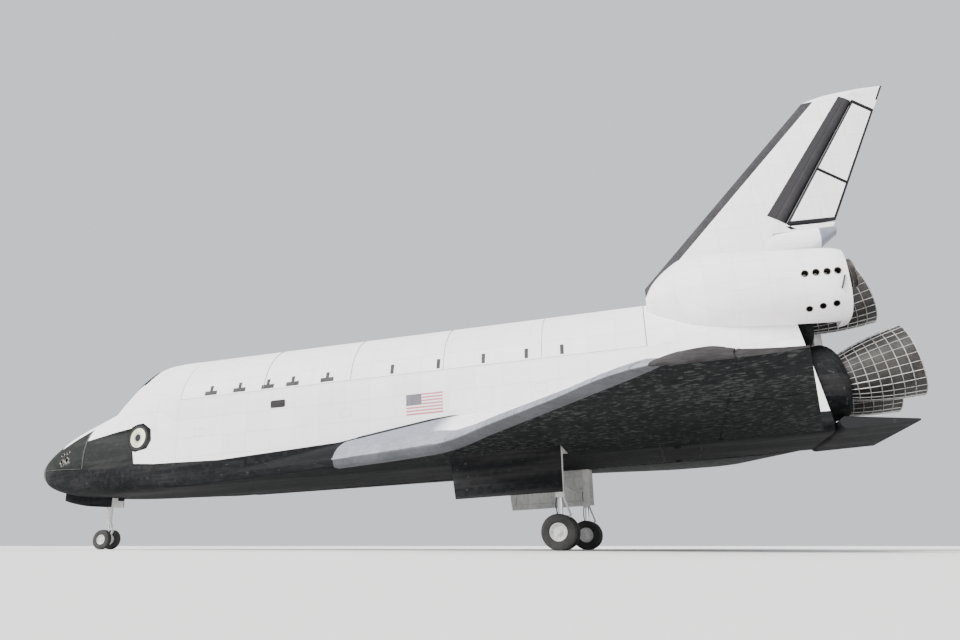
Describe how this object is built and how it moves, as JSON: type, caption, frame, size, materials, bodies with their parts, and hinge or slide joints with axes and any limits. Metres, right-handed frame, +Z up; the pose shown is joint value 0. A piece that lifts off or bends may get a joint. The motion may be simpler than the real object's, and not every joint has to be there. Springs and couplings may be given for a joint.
{
  "type": "space shuttle orbiter",
  "caption": "Winged space vehicle on its landing gear, with a crew cabin, an open payload bay under clamshell doors, elevons, a split rudder, a body flap and tail engines.",
  "frame": {"origin": "on the ground, under the middle of the whole vehicle", "axes": "+X runs aft from the nose, +Y to starboard, +Z up"},
  "size_m": [36.5152, 23.792, 17.2556],
  "materials": {
    "white_skin": "matte white insulation",
    "black_tiles": "matte black tiles",
    "grey_panels": "satin grey",
    "hinge_seal": "dark grey metal",
    "bell_metal": "dark metal",
    "radiator_silver": "mirror-like film",
    "gear_paint": "satin white",
    "tyre_rubber": "matte",
    "window_glass": "dark"
  },
  "bodies": {
    "airframe": {"nose_cap": "grey_panels", "fin_leading_edge": "grey_panels", "wing_leading_edge_left": "grey_panels", "wing_leading_edge_right": "grey_panels", "forward_thruster_module": "black_tiles", "nose_underbody": "black_tiles", "base_heat_shield": "black_tiles", "wing_left": "black_tiles", "wing_right": "black_tiles", "main_gear_door_left": "black_tiles", "main_gear_door_right": "black_tiles", "nose_gear_door_left": "black_tiles", "nose_gear_door_right": "black_tiles", "cabin_shell": "white_skin", "mid_fuselage": "white_skin", "aft_fuselage": "white_skin", "fin": "white_skin", "chute_housing": "white_skin", "engine_pod_left": "white_skin", "engine_pod_right": "white_skin", "window_glass": "window_glass", "main_engine_top": "bell_metal", "main_engine_left": "bell_metal", "main_engine_right": "bell_metal", "pod_nozzle_left": "bell_metal", "pod_nozzle_right": "bell_metal", "main_gear_leg_left": "gear_paint", "main_gear_leg_right": "gear_paint", "nose_gear_leg": "gear_paint"},
    "rudder": {"rudder_hinge_cone": "hinge_seal"},
    "speed_brake_left": {"rudder_panel_lower_left": "white_skin", "rudder_panel_upper_left": "white_skin"},
    "speed_brake_right": {"rudder_panel_lower_right": "white_skin", "rudder_panel_upper_right": "white_skin"},
    "bay_door_left": {"bay_door_left": "white_skin", "bay_radiator_left": "radiator_silver"},
    "bay_door_right": {"bay_door_right": "white_skin", "bay_radiator_right": "radiator_silver"},
    "side_hatch": {"side_hatch": "white_skin", "side_hatch_window": "window_glass"},
    "elevon_inboard_left": {"elevon_inboard_left": "black_tiles"},
    "elevon_inboard_right": {"elevon_inboard_right": "black_tiles"},
    "elevon_outboard_left": {"elevon_outboard_left": "black_tiles"},
    "elevon_outboard_right": {"elevon_outboard_right": "black_tiles"},
    "body_flap": {"body_flap": "black_tiles"},
    "nose_gear_fork": {"nose_gear_fork": "gear_paint"},
    "nose_wheels": {"nose_wheels": "gear_paint", "nose_tyre_left": "tyre_rubber", "nose_tyre_right": "tyre_rubber"},
    "main_wheels_left": {"main_wheels_left": "gear_paint", "main_tyre_inner_left": "tyre_rubber", "main_tyre_outer_left": "tyre_rubber"},
    "main_wheels_right": {"main_wheels_right": "gear_paint", "main_tyre_inner_right": "tyre_rubber", "main_tyre_outer_right": "tyre_rubber"}
  },
  "joints": [
    {"name": "nose_steering", "type": "hinge", "parent": "airframe", "child": "nose_gear_fork", "pos_m": [-14.6053, 0, 0.406], "axis": [0, 0, 1], "range_deg": [-10, 10]},
    {"name": "nose_wheel_spin", "type": "hinge", "parent": "nose_gear_fork", "child": "nose_wheels", "pos_m": [-14.6053, 0, 0.406], "axis": [0, 1, 0], "continuous": true},
    {"name": "main_wheel_spin_left", "type": "hinge", "parent": "airframe", "child": "main_wheels_left", "pos_m": [5.7247, -3.454, 0.565], "axis": [0, 1, 0], "continuous": true},
    {"name": "main_wheel_spin_right", "type": "hinge", "parent": "airframe", "child": "main_wheels_right", "pos_m": [5.7247, 3.454, 0.565], "axis": [0, 1, 0], "continuous": true},
    {"name": "bay_door_left_hinge", "type": "hinge", "parent": "airframe", "child": "bay_door_left", "pos_m": [-0.4689, -2.64, 6.28847], "axis": [0.9986, 0, 0.0523], "range_deg": [0, 175.5]},
    {"name": "bay_door_right_hinge", "type": "hinge", "parent": "airframe", "child": "bay_door_right", "pos_m": [-0.4689, 2.64, 6.28847], "axis": [-0.9986, 0, -0.0523], "range_deg": [0, 175.5]},
    {"name": "side_hatch_hinge", "type": "hinge", "parent": "airframe", "child": "side_hatch", "pos_m": [-11.58291, -2.53, 3.81942], "axis": [0.9898, -0.1326, 0.0519], "range_deg": [0, 90]},
    {"name": "elevon_inboard_left_hinge", "type": "hinge", "parent": "airframe", "child": "elevon_inboard_left", "pos_m": [10.99236, -5.42, 3.8322], "axis": [0.002, 0.9993, -0.0378], "range_deg": [-35, 20]},
    {"name": "elevon_outboard_left_hinge", "type": "hinge", "parent": "airframe", "child": "elevon_outboard_left", "pos_m": [10.98347, -9.9, 4.00175], "axis": [0.002, 0.9993, -0.0378], "range_deg": [-35, 20]},
    {"name": "elevon_inboard_right_hinge", "type": "hinge", "parent": "airframe", "child": "elevon_inboard_right", "pos_m": [10.99236, 5.42, 3.8322], "axis": [-0.002, 0.9993, 0.0378], "range_deg": [-35, 20]},
    {"name": "elevon_outboard_right_hinge", "type": "hinge", "parent": "airframe", "child": "elevon_outboard_right", "pos_m": [10.98347, 9.9, 4.00175], "axis": [-0.002, 0.9993, 0.0378], "range_deg": [-35, 20]},
    {"name": "body_flap_hinge", "type": "hinge", "parent": "airframe", "child": "body_flap", "pos_m": [14.68168, 0, 3.80799], "axis": [0, 1, 0], "range_deg": [-11.7, 22.5]},
    {"name": "rudder_hinge", "type": "hinge", "parent": "airframe", "child": "rudder", "pos_m": [13.85267, 0, 11.94576], "axis": [0.5307, 0, 0.8476], "range_deg": [-22.8, 22.8]},
    {"name": "speed_brake_left_hinge", "type": "hinge", "parent": "rudder", "child": "speed_brake_left", "pos_m": [13.85267, 0, 11.94576], "axis": [-0.5307, 0, -0.8476], "range_deg": [0, 49.3]},
    {"name": "speed_brake_right_hinge", "type": "hinge", "parent": "rudder", "child": "speed_brake_right", "pos_m": [13.85267, 0, 11.94576], "axis": [0.5307, 0, 0.8476], "range_deg": [0, 49.3]}
  ],
  "couplings": [
    {"joint": "speed_brake_right_hinge", "follows": "speed_brake_left_hinge", "ratio": 1}
  ]
}
